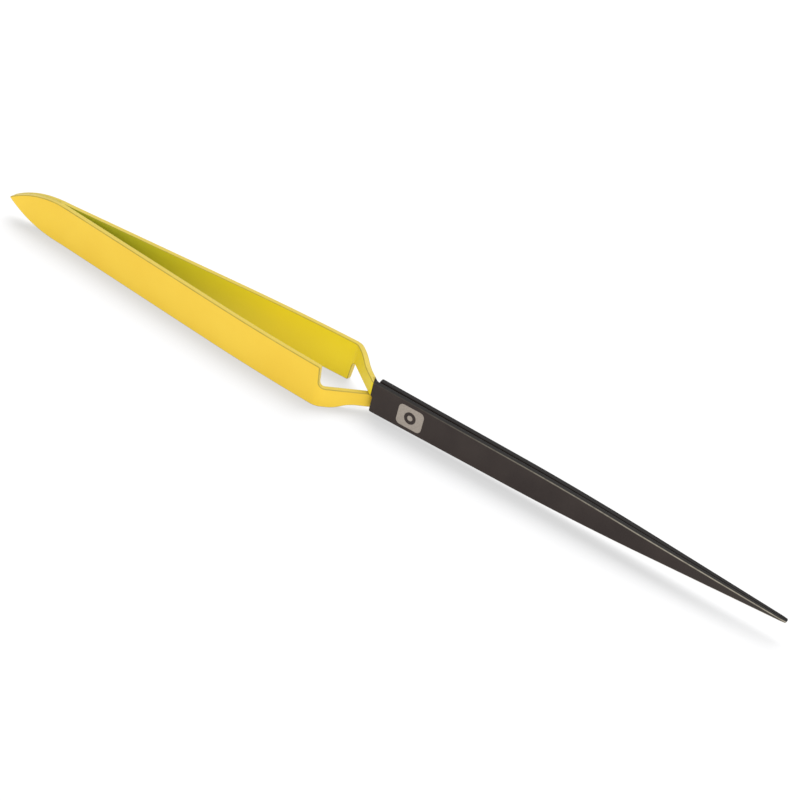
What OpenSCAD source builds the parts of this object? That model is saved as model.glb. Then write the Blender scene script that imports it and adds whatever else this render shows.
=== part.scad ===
// Self-closing (cross-action) tweezers: two turned-over copies of one spring-steel stamping, spot welded
// together at the pointed end of the handle. The arms spread apart, step down to half-height necks that
// cross over each other, and lie against each other again as the tips. Squeezing the handle opens the tips.
// Units are millimetres. +X runs from the welded root to the points, +Z is up across the strip, and the
// tool stands on the long edges of its strips.

/* [Whole tool] */
// Length from the root point to the tip points
tool_len = 165; // [160:1:175]
// Height of the strip along the handle
handle_w = 7.9; // [7.4:0.1:8.6]
// Height of the black tip where it starts
tip_w = 5.92; // [5.4:0.1:6.4]
// Thickness of the bare spring steel
steel_t = 0.9; // [0.7:0.05:1.1]
// Thickness of the coating on every outer surface
coat_t = 0.1; // [0.06:0.01:0.14]

/* [Handle] */
// Length over which the two strips lie together and are welded
weld_len = 11.9; // [9:0.1:15]
// Clear gap between the arms just before the necks
handle_gap = 10.7; // [8:0.1:13]
// How far each arm bows outside a straight line
belly = 0.65; // [0:0.05:0.8]
// Length of the pointed part of the handle outline
root_ogive = 13; // [10:0.5:16]
// Place of the fold from the handle into the neck
neck_fold = 76.7; // [73:0.1:80]
// Place of the free flexing line that stands for the bending of the arm
flex_x = 28; // [24:0.5:34]

/* [Necks and tips] */
// Slope of the neck between its two folds, in degrees
neck_slope = 40.2; // [38:0.1:46]
// Clearance between the two crossing necks
neck_clear = 0.24; // [0.1:0.02:0.4]
// Radius of the fillet in the corner of the notch
notch_r = 1.2; // [0.6:0.1:1.6]
// Place where the full height of the tip starts
tip_start = 84.85; // [84.7:0.05:86]
// Length of the far arm's neck, in front of its full tip, that is black like the tip
far_black_lead = 0.8; // [0.1:0.05:1]
// The same length on the near arm
near_black_lead = 0.15; // [0.05:0.05:1]
// Distance from the points to where the steep taper starts
taper_len = 41.7; // [36:0.1:48]
// Height of each point at its very end
point_w = 0.32; // [0.24:0.02:0.5]
// Thickness of the steel at the points, where the outside is ground down
point_t = 0.42; // [0.3:0.02:0.6]
// Length of the part that is ground thinner
grind_len = 28; // [20:1:34]
// Gap left between the closed points
tip_gap = 0.02; // [0.01:0.01:0.04]
// How much further each tip stands off the middle plane at the crossing than at its point
tip_bow = 0.16; // [0.02:0.02:0.3]

/* [Badge] */
// Length of the printed badge along the tip
badge_l = 5.15; // [4:0.05:5.6]
// Height of the printed badge
badge_h = 4.15; // [3:0.05:4.4]
// Distance from the start of the tip to the middle of the badge
badge_offset = 8.05; // [6:0.05:12]
// Thickness of the printed layers
print_t = 0.03; // [0.02:0.01:0.05]

/* [Hidden] */

handle_yellow = "gold";
tip_black = "#33302e";
bare_steel = "#9a9da0";
badge_grey = "#948a80";

mid_z = handle_w / 2;
coated_t = steel_t + 2 * coat_t;
arc_step = 6;            // degrees of arc to one facet of a bend or corner
slow_arc_step = 2.25;    // the same where the radius is over 15
long_arc_step = 0.25;    // and where it is over 100
weld_bend_r = 60;
fold_r = 2.4;
tip_fold_r = 1.4;
belly_place = 0.785;     // share of the way from the weld to the fold
belly_blend = 11;        // half the length of the belly's curve
step_run = 4.1;          // the S-curve from the handle's long edge to the neck's
step_lead = 1.9;         // from the notch wall to the start of that S-curve
step_ease = 0.96;        // keeps the two arcs of the S-curve just apart
neck_waist = 0.08;       // how much slimmer the neck is than the tip on its long edge
waist_lead = 0.6;        // from the start of the tip to where the waist ends
notch_wall = neck_fold - 0.55;
notch_flare = 0.4;       // how far the notch wall leans back at its top
notch_corner_r = 0.3;
waist_r = 10;
free_edge_r = 0.3;
root_point_r = 0.2;
tip_narrowing = 0.0115;  // slope of each long edge along the slow part of the tip
taper_blend = 10.5;      // half the length of the curve from there into the steep taper
point_r = point_w / 2.2; // rounding of each point, just under half its height
flex_gap = 0.06;         // narrow cut that lets the arm turn about the flexing line
cut_margin = 1;
cut_depth = handle_gap + 6;
weld_d = 2.4;
weld_count = 2;
weld_pitch = 3.4;
weld_first = 4.2;
weld_depth = 0.3;        // how deep a nugget reaches into each strip

// Plan of the near arm's steel, along the middle of its thickness: x, y and bend radius
tip_y = steel_t / 2 + coat_t + tip_gap / 2;
fold_y = -(handle_gap + coated_t) / 2;
tip_fold = neck_fold + (tip_y + tip_bow - fold_y) / tan(neck_slope);
belly_x = weld_len + belly_place * (neck_fold - weld_len);
belly_y = -steel_t / 2 + belly_place * (fold_y + steel_t / 2) - belly;
belly_turn = atan((belly_y + steel_t / 2) / (belly_x - weld_len))
           - atan((fold_y - belly_y) / (neck_fold - belly_x));
belly_r = belly_blend / tan(abs(belly_turn) / 2 + 0.001);
tip_lean = atan(tip_bow / (tool_len - tip_fold));
function stand_off(x) = (tool_len - x) * tan(tip_lean);
plan = [
    [-cut_margin, -steel_t / 2, 0],
    [weld_len, -steel_t / 2, weld_bend_r],
    [belly_x, belly_y, belly_r],
    [neck_fold, fold_y, fold_r],
    [tip_fold, tip_y + tip_bow, tip_fold_r],
    [tool_len + cut_margin, tip_y + stand_off(tool_len + cut_margin), 0]
];

// Side outline of the near arm with its coating, anticlockwise from the root point: x, z and corner radius
ogive_tangent = 2 * atan(mid_z / root_ogive);
ogive_x = root_ogive - mid_z / sin(ogive_tangent);
root_x = -root_point_r * (1 / sin(ogive_tangent) - 1);
ogive_r = (root_ogive - ogive_x - root_point_r / tan(ogive_tangent)) / tan(ogive_tangent / 2);
edge_step = (handle_w - tip_w) / 2;
step_h = edge_step + neck_waist;
step_start = notch_wall + step_lead;
step_end = step_start + step_run;
step_r = (step_run * step_run + step_h * step_h) / (4 * step_h) * step_ease;
step_angle = 2 * atan(step_h / step_run);
step_knee = step_h / 2 / sin(step_angle);
taper_x = tool_len - taper_len;
taper_half = tip_w / 2 - (taper_x - tip_start) * tip_narrowing;
taper_slope = (taper_half - point_w / 2) / taper_len;
taper_r = taper_blend / tan((atan(taper_slope) - atan(tip_narrowing)) / 2);
outline = [
    [root_x, mid_z, root_point_r],
    [ogive_x, 0, ogive_r],
    [step_start + step_knee, 0, step_r],
    [step_end - step_knee, step_h, step_r],
    [tip_start + waist_lead, edge_step, waist_r],
    [taper_x, mid_z - taper_half, taper_r],
    [tool_len, mid_z - point_w / 2, point_r],
    [tool_len, mid_z + point_w / 2, point_r],
    [taper_x, mid_z + taper_half, taper_r],
    [tip_start, mid_z + tip_w / 2, free_edge_r],
    [tip_start, mid_z - neck_clear / 2, free_edge_r],
    [notch_wall + notch_flare, mid_z - neck_clear / 2, notch_r],
    [notch_wall, handle_w, notch_corner_r],
    [ogive_x, handle_w, ogive_r]
];

// Line offsets and rounded corners. Positive shift moves a path to its left.
function unit(v) = v / norm(v);
function left_of(d) = [-d[1], d[0]];
function spin(v, a) = [v[0] * cos(a) - v[1] * sin(a), v[0] * sin(a) + v[1] * cos(a)];
function place(p) = [p[0], p[1]];
function turn_angle(d0, d1) = atan2(d0[0] * d1[1] - d0[1] * d1[0], d0 * d1);
function mitre(v, d0, d1, shift) =
    v + shift * (left_of(d0) + left_of(d1)) / (1 + left_of(d0) * left_of(d1));
function arc_corner(v, d0, d1, r, shift) =
    let (
        turn = turn_angle(d0, d1),
        side = sign(turn),
        start = v - d0 * r * tan(abs(turn) / 2),
        centre = start + side * r * left_of(d0),
        spoke = -(side * r - shift) * left_of(d0),
        step = r > 100 ? long_arc_step : r > 15 ? slow_arc_step : arc_step,
        count = max(2, ceil(abs(turn) / step))
    )
    [for (i = [0 : count]) centre + spin(spoke, turn * i / count)];
function corner(v, d0, d1, r, shift) =
    r == 0 ? [mitre(v, d0, d1, shift)] : arc_corner(v, d0, d1, r, shift);
function flat(list) = [for (part = list) for (p = part) p];
function closed_path(pts, shift) =
    let (n = len(pts))
    flat([for (i = [0 : n - 1])
        let (
            before = place(pts[(i + n - 1) % n]),
            here = place(pts[i]),
            after = place(pts[(i + 1) % n])
        )
        corner(here, unit(here - before), unit(after - here), pts[i][2], shift)]);
function open_path(pts, shift) =
    let (n = len(pts))
    flat([for (i = [0 : n - 1])
        let (
            here = place(pts[i]),
            before = i == 0 ? 2 * here - place(pts[1]) : place(pts[i - 1]),
            after = i == n - 1 ? 2 * here - place(pts[n - 2]) : place(pts[i + 1])
        )
        corner(here, unit(here - before), unit(after - here), pts[i][2], shift)]);
function reversed(list) = [for (i = [len(list) - 1 : -1 : 0]) list[i]];

// A strip of the given half thickness, following the plan, as tall as the tool and a little more
module plan_band(half_t) {
    translate([0, 0, -cut_margin])
        linear_extrude(handle_w + 2 * cut_margin)
            polygon(concat(open_path(plan, -half_t), reversed(open_path(plan, half_t))));
}

// The side outline, moved inwards by inset and extruded right through the strip
module side_outline(inset) {
    translate([0, cut_depth / 2, 0])
        rotate([90, 0, 0])
            linear_extrude(cut_depth)
                polygon(closed_path(outline, inset));
}

// The wedge that is ground off the outside of the points
module grind_wedge(skin) {
    start_x = tool_len - grind_len;
    top_y = tip_gap / 2 + coat_t + steel_t + skin + stand_off(start_x);
    point_y = tip_gap / 2 + coat_t + point_t + skin;
    slope = (top_y - point_y) / grind_len;
    translate([0, 0, -cut_margin])
        linear_extrude(handle_w + 2 * cut_margin)
            polygon([
                [start_x, top_y],
                [tool_len + cut_margin, point_y - slope * cut_margin],
                [tool_len + cut_margin, top_y + cut_margin],
                [start_x, top_y + cut_margin]
            ]);
}

// One whole near arm, before it is divided: skin 0 is the steel, skin coat_t the coated outside
module near_blank(skin) {
    difference() {
        intersection() {
            plan_band(steel_t / 2 + skin);
            side_outline(coat_t - skin);
        }
        grind_wedge(skin);
    }
}

// A block that keeps what lies between two places along the tool, on the near side of the weld plane
module span(x0, x1, reach_y) {
    translate([x0, -cut_depth / 2, -cut_margin])
        cube([x1 - x0, cut_depth / 2 + reach_y, handle_w + 2 * cut_margin]);
}

// Turns a near part over into its far twin
module turned_over() {
    translate([0, 0, handle_w])
        rotate([180, 0, 0])
            children();
}

// Places the tool with its origin in the middle of its length, on the surface that it stands on
module in_frame() {
    translate([-tool_len / 2, 0, 0])
        children();
}

module near_coat_span(x0, x1, reach_y) {
    difference() {
        intersection() {
            near_blank(coat_t);
            span(x0, x1, reach_y);
        }
        near_blank(0);
    }
}

module weld_nuggets() {
    for (i = [0 : weld_count - 1])
        translate([weld_first + i * weld_pitch, 0, mid_z])
            rotate([90, 0, 0])
                cylinder(h = 2 * weld_depth, d = weld_d, center = true, $fn = 48);
}

module near_root_steel() {
    difference() {
        intersection() {
            near_blank(0);
            span(-cut_margin, flex_x - flex_gap / 2, cut_margin);
        }
        weld_nuggets();
    }
}

module near_arm_steel() {
    intersection() {
        near_blank(0);
        span(flex_x + flex_gap / 2, tool_len + cut_margin, handle_gap / 2);
    }
}

near_colour_line = tip_start - near_black_lead;
far_colour_line = tip_start - far_black_lead;
badge_x = tip_start + badge_offset;
badge_corner = 0.9;
badge_face_y = -(tip_gap / 2 + coated_t / 2 + coated_t / 2 / cos(tip_lean) + stand_off(badge_x));
ring_d = 0.56 * badge_h;
ring_hole_d = 0.26 * badge_h;

module near_root_strip() { color(bare_steel) in_frame() near_root_steel(); }
module far_root_strip() { color(bare_steel) in_frame() turned_over() near_root_steel(); }
module near_arm_strip() { color(bare_steel) in_frame() near_arm_steel(); }
module far_arm_strip() { color(bare_steel) in_frame() turned_over() near_arm_steel(); }
module spot_welds() { color(bare_steel) in_frame() weld_nuggets(); }

module near_root_coat() {
    color(handle_yellow) in_frame() near_coat_span(-cut_margin, flex_x - flex_gap / 2, 0);
}
module far_root_coat() {
    color(handle_yellow) in_frame() turned_over() near_coat_span(-cut_margin, flex_x - flex_gap / 2, 0);
}
module near_handle_coat() {
    color(handle_yellow) in_frame()
        near_coat_span(flex_x + flex_gap / 2, near_colour_line, handle_gap / 2);
}
module far_handle_coat() {
    color(handle_yellow) in_frame() turned_over()
        near_coat_span(flex_x + flex_gap / 2, far_colour_line, handle_gap / 2);
}
module near_tip_coat() {
    color(tip_black) in_frame()
        near_coat_span(near_colour_line, tool_len + cut_margin, handle_gap / 2);
}
module far_tip_coat() {
    color(tip_black) in_frame() turned_over()
        near_coat_span(far_colour_line, tool_len + cut_margin, handle_gap / 2);
}

// Rounded rectangle standing on the near face of the closed tips
module badge_blank(half_l, half_h, corner_r, t) {
    pts = [
        [-half_l, -half_h, corner_r],
        [half_l, -half_h, corner_r],
        [half_l, half_h, corner_r],
        [-half_l, half_h, corner_r]
    ];
    rotate([90, 0, 0])
        linear_extrude(t)
            polygon(closed_path(pts, 0));
}

// Moves to the middle of the badge and turns along the near face, layer print thicknesses out from it
module on_badge_place(layer) {
    translate([badge_x, badge_face_y, mid_z])
        rotate([0, 0, tip_lean])
            translate([0, -layer * print_t, 0])
                children();
}

module badge_plate() {
    color(badge_grey) in_frame() on_badge_place(0)
        badge_blank(badge_l / 2, badge_h / 2, badge_corner, print_t);
}

// A plain ring, printed over the middle of the badge
module badge_symbol() {
    color(tip_black) in_frame() on_badge_place(1)
        rotate([90, 0, 0])
            difference() {
                cylinder(h = print_t, d = ring_d, $fn = 48);
                translate([0, 0, -print_t])
                    cylinder(h = 3 * print_t, d = ring_hole_d, $fn = 48);
            }
}

near_arm_strip();
far_arm_strip();
near_root_strip();
far_root_strip();
spot_welds();
near_handle_coat();
far_handle_coat();
near_root_coat();
far_root_coat();
near_tip_coat();
far_tip_coat();
badge_plate();
badge_symbol();
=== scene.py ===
import math

import bmesh
import bpy
from mathutils import Matrix, Vector


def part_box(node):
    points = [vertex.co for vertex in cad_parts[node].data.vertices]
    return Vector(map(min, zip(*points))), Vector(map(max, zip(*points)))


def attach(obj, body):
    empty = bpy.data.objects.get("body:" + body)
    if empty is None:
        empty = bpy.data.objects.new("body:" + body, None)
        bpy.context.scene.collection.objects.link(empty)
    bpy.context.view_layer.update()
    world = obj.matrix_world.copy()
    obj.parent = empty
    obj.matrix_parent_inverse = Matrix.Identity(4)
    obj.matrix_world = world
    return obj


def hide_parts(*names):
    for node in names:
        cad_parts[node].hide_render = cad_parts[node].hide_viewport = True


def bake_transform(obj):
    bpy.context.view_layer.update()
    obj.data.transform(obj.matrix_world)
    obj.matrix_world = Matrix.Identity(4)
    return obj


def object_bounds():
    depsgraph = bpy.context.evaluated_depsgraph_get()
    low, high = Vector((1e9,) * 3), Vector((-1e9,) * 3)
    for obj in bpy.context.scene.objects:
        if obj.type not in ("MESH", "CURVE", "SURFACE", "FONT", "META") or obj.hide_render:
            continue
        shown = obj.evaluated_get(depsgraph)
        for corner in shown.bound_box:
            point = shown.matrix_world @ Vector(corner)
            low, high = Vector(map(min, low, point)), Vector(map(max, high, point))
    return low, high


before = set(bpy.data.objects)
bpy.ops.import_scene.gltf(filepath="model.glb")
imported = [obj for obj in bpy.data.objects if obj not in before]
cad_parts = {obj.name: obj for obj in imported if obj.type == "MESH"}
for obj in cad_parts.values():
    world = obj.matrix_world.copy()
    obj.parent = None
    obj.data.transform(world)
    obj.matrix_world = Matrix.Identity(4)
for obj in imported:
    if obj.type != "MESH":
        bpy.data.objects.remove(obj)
cad_box = [list(corner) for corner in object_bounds()]

MM = 0.001

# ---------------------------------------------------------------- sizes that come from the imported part
ROOT_X = cad_box[0][0] / MM
TOOL_LEN = (cad_box[1][0] - cad_box[0][0]) / MM
HANDLE_H = cad_box[1][2] / MM
MID_Z = HANDLE_H / 2
tip_low, tip_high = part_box("near_tip_coat")
NEAR_BLACK_X = tip_low.x / MM - ROOT_X               # where yellow turns to black
FAR_BLACK_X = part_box("far_tip_coat")[0].x / MM - ROOT_X
TIP_H = 2 * (tip_high.z / MM - MID_Z)
steel_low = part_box("near_arm_strip")[0]
COAT_T = (steel_low.z - cad_box[0][2]) / MM
FLEX_X = steel_low.x / MM - ROOT_X                   # where the strips are divided in the CAD part

# ---------------------------------------------------------------- sizes that the strips' shape adds
# the strip and its bends in plan
STEEL_T = 0.9
COATED_T = STEEL_T + 2 * COAT_T
WELD_LEN = 11.9            # the strips lie together this far from the root
WELD_BEND_R = 60.0
HANDLE_GAP = 10.7
BELLY = 0.65               # bow of each arm outside a straight line
BELLY_PLACE = 0.785        # where the bow is greatest, as a share of the handle
BELLY_BLEND = 11.0
NECK_FOLD = 76.7           # where the handle turns in to the neck
NECK_SLOPE = math.radians(40.2)
FOLD_R = 2.4
TIP_FOLD_R = 1.4
TIP_GAP = 0.02             # between the two tips at the points
TIP_BOW = 0.16             # each tip stands this much further off the middle at the crossing
PATH_OVERRUN = 5.0         # the middle line goes on past both ends of the strip

# the side outline
ROOT_OGIVE = 13.0
ROOT_POINT_R = 0.2
NOTCH_LEAD = 0.55          # the notch's wall stands this much before the fold
NOTCH_WALL = NECK_FOLD - NOTCH_LEAD
NOTCH_FLARE = 0.4
NOTCH_R = 1.2
NOTCH_CORNER_R = 0.3
STEP_LEAD = 1.9            # from the notch's wall to the step in the long edge
STEP_RUN = 4.1
STEP_EASE = 0.96           # the step's roundings stop just short of each other
NECK_CLEAR = 0.24          # between the necks where they pass each other
NECK_WAIST = 0.08          # the neck is this much slimmer than the tip on its long edge
WAIST_LEAD = 0.6
WAIST_R = 10.0
NEAR_BLACK_LEAD = 0.15     # the black starts this much before the tip's free end
TIP_START = NEAR_BLACK_X + NEAR_BLACK_LEAD
FREE_EDGE_R = 0.3
TAPER_LEN = 41.7
TAPER_BLEND = 10.5
TIP_NARROWING = 0.0115     # slope of each long edge before the taper

# the points, ground thinner on their outside
POINT_H = 0.32
POINT_T = 0.42
POINT_R = POINT_H / 2.2    # just under half the point's height
GRIND_LEN = 28.0
POINT_ROUND = 0.4          # the very points are rounded in plan over this length
POINT_END_SHARE = 0.35     # down to this share of their thickness

# coat edges and seams
EDGE_R = 0.19              # rounding of the coated edges
SEAM_FILL = 0.9            # the coat fills this much of the rounding where the strips lie together
SEAM_LEAD = 1.0            # the fill starts to fade this much before the end of the weld
SEAM_FADE = 4.0            # and is gone this far after it
SEAM_GAP = 0.001           # each strip keeps this far to its own side of the middle
FAR_LINE_LEAD = 0.1
FAR_LINE_X = FAR_BLACK_X - FAR_LINE_LEAD             # the far arm's black was dipped at a slant
FAR_LINE_SLANT = math.radians(21.6)

# ---------------------------------------------------------------- how finely the strips are divided
EDGE_STEPS = 4             # faces across each rounded edge
ARC_STEP_DEG = 9.0         # tight corners are divided at about this angle
LEAST_ARC_STEPS = 4
BROAD_R = 15.0             # corners wider than this get a fixed count
BROAD_ARC_STEPS = 18
FLAT_R = 100.0             # and so do the almost flat ones
FLAT_ARC_STEPS = 10
CUT_STEP = 1.0             # cross cuts along the strip
FIRST_CUT = 1.0
LAST_CUT_LEAD = 0.6        # no even cut is closer than this to the points
TIGHT_FOLD_R = 10.0        # folds tighter than this are cut at BEND_CUT_STEP
BEND_CUT_STEP = 0.12
FLAT_CUT_DIST = 1e-5       # snapping distance of a cut through the flat plate, in its millimetres
BENT_CUT_DIST = 1e-8       # and of a cut through the bent strip, in metres
NORMAL_WEIGHT = 100        # shading follows the large faces

# ---------------------------------------------------------------- how a noise's values spread
NOISE_LOW, NOISE_HIGH = 0.3, 0.7          # nearly all values lie in here
PATCH_LOW, PATCH_HIGH = 0.35, 0.65        # most do, so this range gives soft patches of both extremes


def to_frame(x, y, z):
    """Millimetres in the layout above to metres in the row frame."""
    return Vector(((x + ROOT_X) * MM, y * MM, z * MM))


# ---------------------------------------------------------------- rounded paths
def unit(v):
    return v.normalized()


def left_of(d):
    return Vector((-d.y, d.x))


def turn_angle(d0, d1):
    return math.atan2(d0.x * d1.y - d0.y * d1.x, d0.dot(d1))


def arc_steps(turn, r):
    """How finely a corner of this turn and radius is divided."""
    if r > FLAT_R:
        return FLAT_ARC_STEPS
    if r > BROAD_R:
        return BROAD_ARC_STEPS
    return max(LEAST_ARC_STEPS, math.ceil(math.degrees(abs(turn)) / ARC_STEP_DEG))


def corner_points(here, d0, d1, r, shift):
    """The points of one corner, rounded to r and moved to the path's left by shift."""
    turn = turn_angle(d0, d1)
    side = math.copysign(1, turn)
    start = here - d0 * r * math.tan(abs(turn) / 2)
    centre = start + side * r * left_of(d0)
    spoke = -(side * r - shift) * left_of(d0)
    count = arc_steps(turn, r)
    return [centre + Matrix.Rotation(turn * i / count, 2) @ spoke for i in range(count + 1)]


def closed_path(corners, shift):
    """Points of a closed outline given as (x, z, corner radius), moved to its left by shift."""
    points = []
    count = len(corners)
    for i, (x, z, r) in enumerate(corners):
        before = Vector(corners[i - 1][:2])
        here = Vector((x, z))
        after = Vector(corners[(i + 1) % count][:2])
        points += corner_points(here, unit(here - before), unit(after - here), r, shift)
    return points


class Plan:
    """The middle line of the near arm's strip in plan, with round folds: y and direction at any x."""

    def __init__(self, corners):
        """corners is a list of (x, y, fold radius), of which the first and last are plain ends."""
        self.parts = []
        previous = Vector(corners[0][:2])
        for i in range(1, len(corners) - 1):
            here = Vector(corners[i][:2])
            r = corners[i][2]
            d0 = unit(here - Vector(corners[i - 1][:2]))
            d1 = unit(Vector(corners[i + 1][:2]) - here)
            turn = turn_angle(d0, d1)
            reach = r * math.tan(abs(turn) / 2)
            start = here - d0 * reach
            end = here + d1 * reach
            side = math.copysign(1, turn)
            centre = start + side * r * left_of(d0)
            self.parts.append(("line", previous, start, None, 0))
            self.parts.append(("arc", start, end, centre, side * r))
            previous = end
        self.parts.append(("line", previous, Vector(corners[-1][:2]), None, 0))

    def at(self, x):
        """The point of the middle line at x, and the direction in which the line runs there."""
        for kind, start, end, centre, r in self.parts:
            if x <= end.x or end is self.parts[-1][2]:
                break
        if kind == "line":
            d = unit(end - start)
            return Vector((x, start.y + d.y / d.x * (x - start.x))), d
        dx = x - centre.x
        y = centre.y - math.copysign(math.sqrt(max(r * r - dx * dx, 0)), r)
        spoke = (Vector((x, y)) - centre) / -r
        return Vector((x, y)), Vector((spoke.y, -spoke.x))

    def bends(self):
        """Where each fold starts and ends, and its radius."""
        return [(start.x, end.x, abs(r)) for kind, start, end, _, r in self.parts if kind == "arc"]


def near_plan():
    """The near arm from the weld along its bowed handle, through the neck and along the tip."""
    tip_y = STEEL_T / 2 + COAT_T + TIP_GAP / 2
    fold_y = -(HANDLE_GAP + COATED_T) / 2
    tip_fold = NECK_FOLD + (tip_y + TIP_BOW - fold_y) / math.tan(NECK_SLOPE)
    belly_x = WELD_LEN + BELLY_PLACE * (NECK_FOLD - WELD_LEN)
    belly_y = -STEEL_T / 2 + BELLY_PLACE * (fold_y + STEEL_T / 2) - BELLY
    turn = math.atan((belly_y + STEEL_T / 2) / (belly_x - WELD_LEN))
    turn -= math.atan((fold_y - belly_y) / (NECK_FOLD - belly_x))
    return Plan([
        (-PATH_OVERRUN, -STEEL_T / 2, 0),
        (WELD_LEN, -STEEL_T / 2, WELD_BEND_R),
        (belly_x, belly_y, BELLY_BLEND / math.tan(abs(turn) / 2)),
        (NECK_FOLD, fold_y, FOLD_R),
        (tip_fold, tip_y + TIP_BOW, TIP_FOLD_R),
        (TOOL_LEN + PATH_OVERRUN, tip_y - TIP_BOW * PATH_OVERRUN / (TOOL_LEN - tip_fold), 0),
    ])


def near_outline():
    """Side outline of the near arm with its coat: (x, z, corner radius), anticlockwise from the root."""
    tangent = 2 * math.atan(MID_Z / ROOT_OGIVE)
    ogive_x = ROOT_OGIVE - MID_Z / math.sin(tangent)
    root_x = -ROOT_POINT_R * (1 / math.sin(tangent) - 1)
    ogive_r = (ROOT_OGIVE - ogive_x - ROOT_POINT_R / math.tan(tangent)) / math.tan(tangent / 2)
    edge_step = (HANDLE_H - TIP_H) / 2
    step_h = edge_step + NECK_WAIST
    step_start = NOTCH_WALL + STEP_LEAD
    step_end = step_start + STEP_RUN
    step_r = (STEP_RUN ** 2 + step_h ** 2) / (4 * step_h) * STEP_EASE
    knee = step_h / 2 / math.sin(2 * math.atan(step_h / STEP_RUN))
    taper_x = TOOL_LEN - TAPER_LEN
    taper_half = TIP_H / 2 - (taper_x - TIP_START) * TIP_NARROWING
    taper_turn = math.atan((taper_half - POINT_H / 2) / TAPER_LEN) - math.atan(TIP_NARROWING)
    taper_r = TAPER_BLEND / math.tan(taper_turn / 2)
    return [
        (root_x, MID_Z, ROOT_POINT_R),
        (ogive_x, 0, ogive_r),
        (step_start + knee, 0, step_r),
        (step_end - knee, step_h, step_r),
        (TIP_START + WAIST_LEAD, edge_step, WAIST_R),
        (taper_x, MID_Z - taper_half, taper_r),
        (TOOL_LEN, MID_Z - POINT_H / 2, POINT_R),
        (TOOL_LEN, MID_Z + POINT_H / 2, POINT_R),
        (taper_x, MID_Z + taper_half, taper_r),
        (TIP_START, MID_Z + TIP_H / 2, FREE_EDGE_R),
        (TIP_START, MID_Z - NECK_CLEAR / 2, FREE_EDGE_R),
        (NOTCH_WALL + NOTCH_FLARE, MID_Z - NECK_CLEAR / 2, NOTCH_R),
        (NOTCH_WALL, HANDLE_H, NOTCH_CORNER_R),
        (ogive_x, HANDLE_H, ogive_r),
    ]


PLAN = near_plan()
OUTLINE = near_outline()


def smooth_step(a, b, x):
    """0 up to a, 1 from b on, and an S-curve between them."""
    t = min(max((x - a) / (b - a), 0), 1)
    return t * t * (3 - 2 * t)


# ---------------------------------------------------------------- one strip, flat, then ground and bent
def seam_fill(x, side):
    """How far the coat fills the rounded edge at x, on the face that lies against the other strip."""
    if side < 0:
        return 0
    return SEAM_FILL * (1 - smooth_step(WELD_LEN - SEAM_LEAD, WELD_LEN + SEAM_FADE, x))


def flat_plate(skin, edge_r):
    """The strip before bending, as a bmesh with x, thickness and height. skin 0 is the bare steel.

    Its attributes are edge (1 half-way round a rounded edge), band (1 across the narrow side between the
    two faces) and inner (1 on the face turned to the other strip in the handle, 0 on the other face).
    """
    bm = bmesh.new()
    edge_layer = bm.verts.layers.float.new("edge")
    band_layer = bm.verts.layers.float.new("band")
    inner_layer = bm.verts.layers.float.new("inner")
    half_t = STEEL_T / 2 + skin
    base_inset = COAT_T - skin
    square_edge = closed_path(OUTLINE, base_inset)
    rings = []
    for side in (-1, 1):
        for i in range(EDGE_STEPS + 1):
            angle = math.pi / 2 * (i if side < 0 else EDGE_STEPS - i) / EDGE_STEPS
            inset = edge_r * (1 - math.sin(angle))
            level = side * (half_t - edge_r * (1 - math.cos(angle)))
            path = closed_path(OUTLINE, base_inset + inset)
            ring = []
            for p, sharp in zip(path, square_edge):
                fill = seam_fill(p.x, side)
                p = p.lerp(sharp, fill)
                v = bm.verts.new((p.x, level + fill * (half_t - level), p.y))
                v[edge_layer] = math.sin(2 * angle)
                v[band_layer] = math.sin(angle)
                v[inner_layer] = (1 + side) / 2
                ring.append(v)
            rings.append(ring)
    for low, high in zip(rings, rings[1:]):
        for i in range(len(low)):
            j = (i + 1) % len(low)
            bm.faces.new((low[i], low[j], high[j], high[i]))
    bm.faces.new(list(reversed(rings[0])))
    bm.faces.new(rings[-1])
    return bm, half_t


def cut_places():
    """Where the flat plate is cut across so that it can bend smoothly."""
    places = {round(NEAR_BLACK_X, 4), round(FAR_BLACK_X, 4)}
    x = FIRST_CUT
    while x < TOOL_LEN - LAST_CUT_LEAD:
        places.add(round(x, 4))
        x += CUT_STEP
    for start, end, r in PLAN.bends():
        step = BEND_CUT_STEP if r < TIGHT_FOLD_R else CUT_STEP / 2
        count = math.ceil((end - start) / step)
        places.update(round(start + (end - start) * i / count, 4) for i in range(count + 1))
    return sorted(places)


def ground(x, w, half_t):
    """Thickness coordinate after the outside of the points is ground down."""
    share = min(max((x - (TOOL_LEN - GRIND_LEN)) / GRIND_LEN, 0), 1)
    thinner = 1 - share * (STEEL_T - POINT_T) / (2 * half_t)
    reach = min(max((x - TOOL_LEN) / POINT_ROUND + 1, 0), 1)
    thinner *= POINT_END_SHARE + (1 - POINT_END_SHARE) * math.sqrt(1 - reach * reach)
    return -half_t + (w + half_t) * thinner


def bend_strip(bm, half_t):
    """Lays the flat plate along the near arm's middle line, in the row frame."""
    for v in bm.verts:
        x, w, z = v.co
        place, d = PLAN.at(x)
        place = place + left_of(d) * ground(x, w, half_t)
        if x < FLEX_X:
            place.y = min(place.y, -SEAM_GAP)
        v.co = to_frame(place.x, place.y, z)


def turn_over(bm):
    """Half a turn about the tool's length, which makes the far arm out of the near one."""
    for v in bm.verts:
        v.co = Vector((v.co.x, -v.co.y, HANDLE_H * MM - v.co.z))


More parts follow.
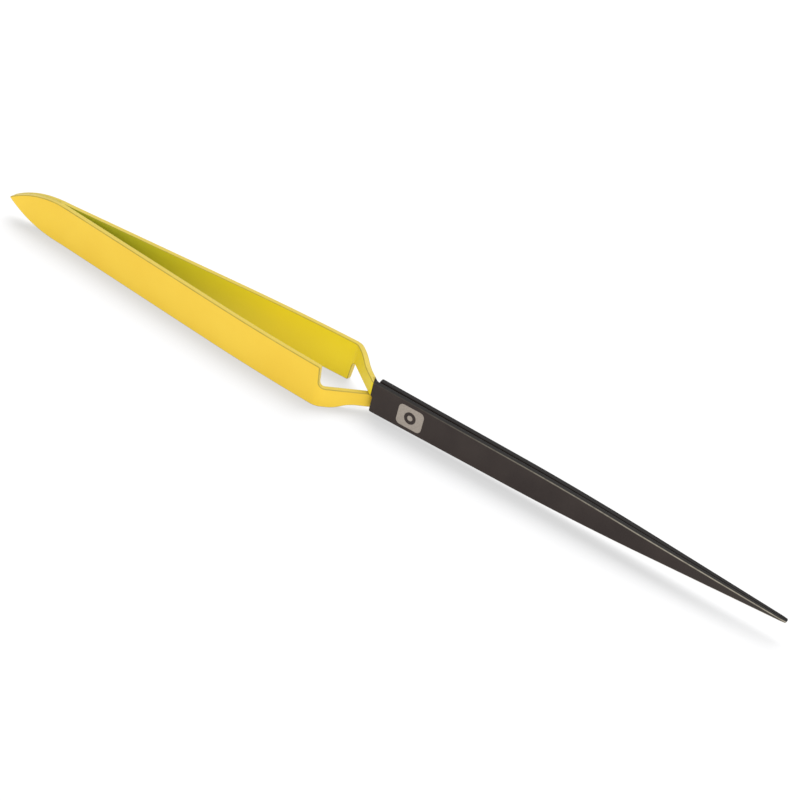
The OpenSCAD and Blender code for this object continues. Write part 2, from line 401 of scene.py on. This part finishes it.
def keep_side(bm, x, slant, beyond):
    """Cuts the bent strip at x, at a slant in plan, and keeps one side, closed with a flat face."""
    geom = bm.verts[:] + bm.edges[:] + bm.faces[:]
    cut = bmesh.ops.bisect_plane(
        bm,
        geom=geom,
        plane_co=to_frame(x, 0, 0),
        plane_no=Vector((math.cos(slant), -math.sin(slant), 0)),
        clear_inner=beyond,
        clear_outer=not beyond,
        dist=BENT_CUT_DIST,
    )
    edges = [e for e in cut["geom_cut"] if isinstance(e, bmesh.types.BMEdge) and e.is_boundary]
    bmesh.ops.contextual_create(bm, geom=edges)


def strip_piece(name, skin, edge_r, far, part, material):
    """One arm's strip as a mesh object. part is None for all of it, or (x, slant, keep what is beyond)."""
    bm, half_t = flat_plate(skin, edge_r)
    for x in cut_places():
        geom = bm.verts[:] + bm.edges[:] + bm.faces[:]
        bmesh.ops.bisect_plane(bm, geom=geom, plane_co=(x, 0, 0), plane_no=(1, 0, 0), dist=FLAT_CUT_DIST)
    bend_strip(bm, half_t)
    if part:
        keep_side(bm, *part)
    if far:
        turn_over(bm)
    bmesh.ops.recalc_face_normals(bm, faces=bm.faces[:])
    mesh = bpy.data.meshes.new(name)
    bm.to_mesh(mesh)
    bm.free()
    mesh.polygons.foreach_set("use_smooth", [True] * len(mesh.polygons))
    mesh.materials.append(material)
    obj = bpy.data.objects.new(name, mesh)
    bpy.context.scene.collection.objects.link(obj)
    even = obj.modifiers.new("even_faces", "WEIGHTED_NORMAL")
    even.keep_sharp = True
    even.weight = NORMAL_WEIGHT
    return obj


# ---------------------------------------------------------------- materials
class Nodes:
    """Short calls for building a node tree. Noise scales are per metre."""

    def __init__(self, name):
        self.material = bpy.data.materials.new(name)
        self.material.use_nodes = True
        self.tree = self.material.node_tree
        self.shader = self.tree.nodes["Principled BSDF"]
        self.place = self.add("ShaderNodeTexCoord").outputs["Object"]

    def add(self, kind, **settings):
        node = self.tree.nodes.new(kind)
        for key, value in settings.items():
            setattr(node, key, value)
        return node

    def fill(self, socket, value):
        """Sets a socket to a number or an RGB colour, or links another node's output to it."""
        if isinstance(value, (int, float)):
            socket.default_value = value
        elif isinstance(value, tuple):
            socket.default_value = (*value, 1)
        else:
            self.tree.links.new(value, socket)

    def set(self, **values):
        """Fills sockets of the shader, by their names with _ for a space."""
        for key, value in values.items():
            self.fill(self.shader.inputs[key.replace("_", " ")], value)

    def attribute(self, name):
        return self.add("ShaderNodeAttribute", attribute_name=name).outputs["Fac"]

    def along(self):
        """Place along the tool's length in the row frame, in metres."""
        split = self.add("ShaderNodeSeparateXYZ")
        self.fill(split.inputs[0], self.place)
        return split.outputs[0]

    def noise(self, scale, detail=3.0, roughness=0.5, place=None):
        node = self.add("ShaderNodeTexNoise")
        node.inputs["Scale"].default_value = scale
        node.inputs["Detail"].default_value = detail
        node.inputs["Roughness"].default_value = roughness
        self.fill(node.inputs["Vector"], place or self.place)
        return node.outputs["Fac"]

    def spread(self, value, low, high, to_low=0, to_high=1):
        """Maps low to high onto to_low to to_high, and goes no further."""
        node = self.add("ShaderNodeMapRange")
        node.inputs["From Min"].default_value = low
        node.inputs["From Max"].default_value = high
        node.inputs["To Min"].default_value = to_low
        node.inputs["To Max"].default_value = to_high
        self.fill(node.inputs["Value"], value)
        return node.outputs["Result"]

    def patches(self, noise):
        return self.spread(noise, PATCH_LOW, PATCH_HIGH)

    def vary(self, noise, least, most):
        return self.spread(noise, NOISE_LOW, NOISE_HIGH, least, most)

    def times(self, a, b):
        node = self.add("ShaderNodeMath", operation="MULTIPLY")
        self.fill(node.inputs[0], a)
        self.fill(node.inputs[1], b)
        return node.outputs[0]

    def mix(self, factor, a, b):
        """Colour a where factor is 0, colour b where it is 1."""
        node = self.add("ShaderNodeMix", data_type="RGBA")
        for socket, value in ((node.inputs[0], factor), (node.inputs[6], a), (node.inputs[7], b)):
            self.fill(socket, value)
        return node.outputs[2]

    def bump(self, value, depth, below=None):
        """The normal of a bump of this depth in metres, on top of the one below."""
        node = self.add("ShaderNodeBump")
        node.inputs["Strength"].default_value = 1.0
        node.inputs["Distance"].default_value = depth
        self.fill(node.inputs["Height"], value)
        if below:
            self.fill(node.inputs["Normal"], below)
        return node.outputs["Normal"]


def linear(r, g, b):
    """An sRGB colour of 0 to 255 as linear values."""
    def one(c):
        c = c / 255
        return c / 12.92 if c <= 0.04045 else ((c + 0.055) / 1.055) ** 2.4
    return (one(r), one(g), one(b))


def powder_yellow():
    """Satin yellow. Painted shade makes it greener within the handle and darker towards the root, where
    the arms close in, and duller on the narrow sides; it turns darker olive along the rounded edges.
    """
    yellow = linear(246, 204, 52)
    lighter_yellow = linear(249, 209, 58)
    # painted shade: the faces turned to the other arm are greener near the neck and darker olive towards
    # the root, where the arms close in
    inside_shade_near_neck = linear(238, 215, 22)
    inside_shade_near_root = linear(198, 196, 50)
    inside_shade_from, inside_shade_to = -0.022, -0.058
    # painted shade: the narrow sides between the two faces are duller olive
    side_shade_olive = linear(216, 192, 80)
    side_shade_strength = 0.85
    speck_orange = linear(225, 170, 30)
    speck_strength = 0.12
    speck_from, speck_to = 0.62, 0.72
    # darker olive along the rounded edges, in patches
    edge_olive = linear(160, 140, 44)
    edge_least, edge_most = 0.65, 0.95
    fine_depth = 0.000012
    grit_depth = 0.000002

    n = Nodes("yellow_powder_coat")
    fine = n.noise(scale=2600, detail=2, roughness=0.55)
    speck = n.spread(n.noise(scale=7000, detail=1), speck_from, speck_to)
    # painted shade within the handle, darker towards the root
    shade_towards_root = n.spread(n.along(), inside_shade_from, inside_shade_to)
    inside_shade_colour = n.mix(shade_towards_root, inside_shade_near_neck, inside_shade_near_root)
    colour = n.mix(n.patches(n.noise(scale=90, detail=2)), yellow, lighter_yellow)
    colour = n.mix(n.attribute("inner"), colour, inside_shade_colour)
    # painted shade on the narrow sides
    colour = n.mix(n.times(n.attribute("band"), side_shade_strength), colour, side_shade_olive)
    colour = n.mix(n.times(speck, speck_strength), colour, speck_orange)
    edge_darkening = n.times(n.attribute("edge"), n.vary(n.noise(scale=400), edge_least, edge_most))
    colour = n.mix(edge_darkening, colour, edge_olive)
    n.set(Base_Color=colour, Roughness=n.vary(fine, 0.38, 0.48), Specular_IOR_Level=0.4)
    n.set(Normal=n.bump(n.noise(scale=9000, detail=1), grit_depth, below=n.bump(fine, fine_depth)))
    return n.material


def black_coat():
    """Satin warm black, lighter towards the points, with painted shade making the narrow sides darker, and
    worn edges with a painted highlight on the outside of the tips.
    """
    black = linear(47, 38, 35)
    lighter_black = linear(54, 45, 41)
    point_grey = linear(57, 51, 47)
    grey_from, grey_to = 0.06, 0.08
    # painted shade: the narrow sides between the two faces are much darker
    side_shade_black = linear(22, 18, 17)
    # worn edges and painted highlight: the tips' outer edges turn light, in patches, more so towards the
    # points
    worn_edge_and_highlight = linear(186, 178, 160)
    wear_highlight_from, wear_highlight_to = 0.01, 0.065
    wear_highlight_least, wear_highlight_most = 0.08, 0.9
    wear_highlight_patch_low, wear_highlight_patch_high = 0.3, 0.6
    wear_highlight_patch_least = 0.6
    fine_depth = 0.000006

    n = Nodes("black_coat")
    fine = n.noise(scale=3800, roughness=0.6)
    along = n.along()
    colour = n.mix(n.patches(n.noise(scale=140, roughness=0.6)), black, lighter_black)
    colour = n.mix(n.spread(along, grey_from, grey_to), colour, point_grey)
    # painted shade on the narrow sides
    colour = n.mix(n.attribute("band"), colour, side_shade_black)
    towards_point = n.spread(along, wear_highlight_from, wear_highlight_to, wear_highlight_least, wear_highlight_most)
    # worn edges and painted highlight along the tips' outer edges
    wear_and_highlight = n.times(n.times(n.attribute("edge"), n.attribute("inner")), towards_point)
    wear_and_highlight = n.times(wear_and_highlight, n.spread(n.noise(scale=900), wear_highlight_patch_low, wear_highlight_patch_high, wear_highlight_patch_least, 1))
    colour = n.mix(wear_and_highlight, colour, worn_edge_and_highlight)
    n.set(Base_Color=colour, Roughness=n.vary(fine, 0.36, 0.5), Specular_IOR_Level=0.22)
    n.set(Normal=n.bump(fine, fine_depth))
    return n.material


def spring_steel():
    """Ground steel with fine lines along the strip, hidden under the coats."""
    dark_line = linear(150, 150, 152)
    light_line = linear(186, 186, 186)
    line_squeeze = 0.03
    line_depth = 0.000002

    n = Nodes("spring_steel")
    grain = n.add("ShaderNodeMapping")
    grain.inputs["Scale"].default_value = (line_squeeze, 1, 1)
    n.fill(grain.inputs["Vector"], n.place)
    lines = n.noise(scale=12000, roughness=0.6, place=grain.outputs["Vector"])
    colour = n.mix(lines, dark_line, light_line)
    n.set(Base_Color=colour, Roughness=n.vary(lines, 0.28, 0.42), Metallic=1.0)
    n.set(Normal=n.bump(lines, line_depth))
    return n.material


def badge_print():
    """Light warm grey print with a fine grain."""
    grey = linear(152, 142, 132)
    lighter_grey = linear(168, 158, 147)
    fine_depth = 0.000004

    n = Nodes("badge_print")
    fine = n.noise(scale=5200, roughness=0.6)
    colour = n.mix(n.patches(fine), grey, lighter_grey)
    n.set(Base_Color=colour, Roughness=n.vary(fine, 0.45, 0.6), Specular_IOR_Level=0.3)
    n.set(Normal=n.bump(fine, fine_depth))
    return n.material


def floor_white():
    """White by its own glow, with little reflection, so that no yellow light tints the shadow."""
    grey = (0.15, 0.15, 0.152)
    lighter_grey = (0.154, 0.154, 0.156)
    glow = 0.60

    n = Nodes("floor_white")
    n.set(Base_Color=n.mix(n.noise(scale=40), grey, lighter_grey), Roughness=0.8)
    n.set(Specular_IOR_Level=0.0, Emission_Color=(1.0, 1.0, 1.0), Emission_Strength=glow)
    return n.material


YELLOW = powder_yellow()
BLACK = black_coat()
STEEL = spring_steel()
BADGE = badge_print()


# ---------------------------------------------------------------- pieces
def bends_with(obj):
    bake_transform(obj)


def make_arm(side):
    """The yellow coat, the black coat and the steel strip of one arm."""
    far = side == "far"
    arm = side + "_arm"
    line = (FAR_LINE_X, FAR_LINE_SLANT) if far else (NEAR_BLACK_X, 0)
    handle = strip_piece(side + "_yellow_coat", COAT_T, EDGE_R, far, (*line, False), YELLOW)
    bends_with(handle)
    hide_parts(side + "_root_coat", side + "_handle_coat")
    tip = strip_piece(side + "_black_coat", COAT_T, EDGE_R, far, (*line, True), BLACK)
    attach(tip, arm)
    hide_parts(side + "_tip_coat")
    steel = strip_piece(side + "_steel_strip", 0, COAT_T / 2, far, None, STEEL)
    bends_with(steel)
    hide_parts(side + "_root_strip", side + "_arm_strip")


def finish_cad_node(name, material):
    """A CAD node that stays as it is, with its material."""
    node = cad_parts[name]
    node.data.materials.clear()
    node.data.materials.append(material)


make_arm("near")
make_arm("far")
finish_cad_node("badge_plate", BADGE)
finish_cad_node("badge_symbol", BLACK)
finish_cad_node("spot_welds", STEEL)


# ---------------------------------------------------------------- floor, light and camera
def make_floor():
    """A flat square that is large against the part."""
    mesh = bpy.data.meshes.new("floor")
    half = 3.0
    corners = [(-half, -half, 0), (half, -half, 0), (half, half, 0), (-half, half, 0)]
    mesh.from_pydata(corners, [], [(0, 1, 2, 3)])
    mesh.materials.append(floor_white())
    floor = bpy.data.objects.new("floor", mesh)
    bpy.context.scene.collection.objects.link(floor)
    return floor


def make_sun(name, strength, towards, softness, only_on=None):
    """A soft distant light that comes from the direction towards, and may light one object only.

    softness is the angle, in degrees, that the light spans in the sky.
    """
    data = bpy.data.lights.new(name, "SUN")
    data.energy = strength
    data.angle = math.radians(softness)
    light = bpy.data.objects.new(name, data)
    light.rotation_mode = "QUATERNION"
    light.rotation_quaternion = Vector(towards).to_track_quat("Z", "Y")
    bpy.context.scene.collection.objects.link(light)
    if only_on:
        receivers = bpy.data.collections.new(name + "_receivers")
        receivers.objects.link(only_on)
        light.light_linking.receiver_collection = receivers


def make_world(strength):
    """Even white light from all round."""
    world = bpy.data.worlds.new("studio")
    world.use_nodes = True
    background = world.node_tree.nodes["Background"]
    background.inputs["Color"].default_value = (1, 1, 1, 1)
    background.inputs["Strength"].default_value = strength
    bpy.context.scene.world = world


def make_camera(azimuth, elevation, roll, distance, lens, target):
    """Looks at target from distance away, in metres; angles in degrees, azimuth 0 looks along +Y."""
    a, e, r = (math.radians(v) for v in (azimuth, elevation, roll))
    back = Vector((math.sin(a) * math.cos(e), -math.cos(a) * math.cos(e), math.sin(e)))
    level = Vector((math.cos(a), math.sin(a), 0))
    upright = back.cross(level)
    right = math.cos(r) * level + math.sin(r) * upright
    up = math.cos(r) * upright - math.sin(r) * level
    data = bpy.data.cameras.new("camera")
    data.lens = lens
    data.sensor_width = 36
    data.clip_start = 0.01
    data.clip_end = 20
    camera = bpy.data.objects.new("camera", data)
    turned = Matrix((right, up, back)).transposed().to_4x4()
    camera.matrix_world = Matrix.Translation(Vector(target) + back * distance) @ turned
    bpy.context.scene.collection.objects.link(camera)
    bpy.context.scene.camera = camera


floor = make_floor()
make_world(strength=0.8)
make_sun("key", strength=1.0, towards=(0.2, 0.35, 0.9), softness=60)
make_sun("fill", strength=0.55, towards=(0.62, -0.76, 0.18), softness=40)
make_sun("floor_shadow", strength=7.2, towards=(-0.39, 0.92, 1.48), softness=50, only_on=floor)
make_camera(
    azimuth=23.88,
    elevation=33.3,
    roll=15.09,
    distance=0.300,
    lens=77.55,
    target=(0.00712, 0, 0.00549),
)
bpy.context.scene.view_settings.view_transform = "Standard"
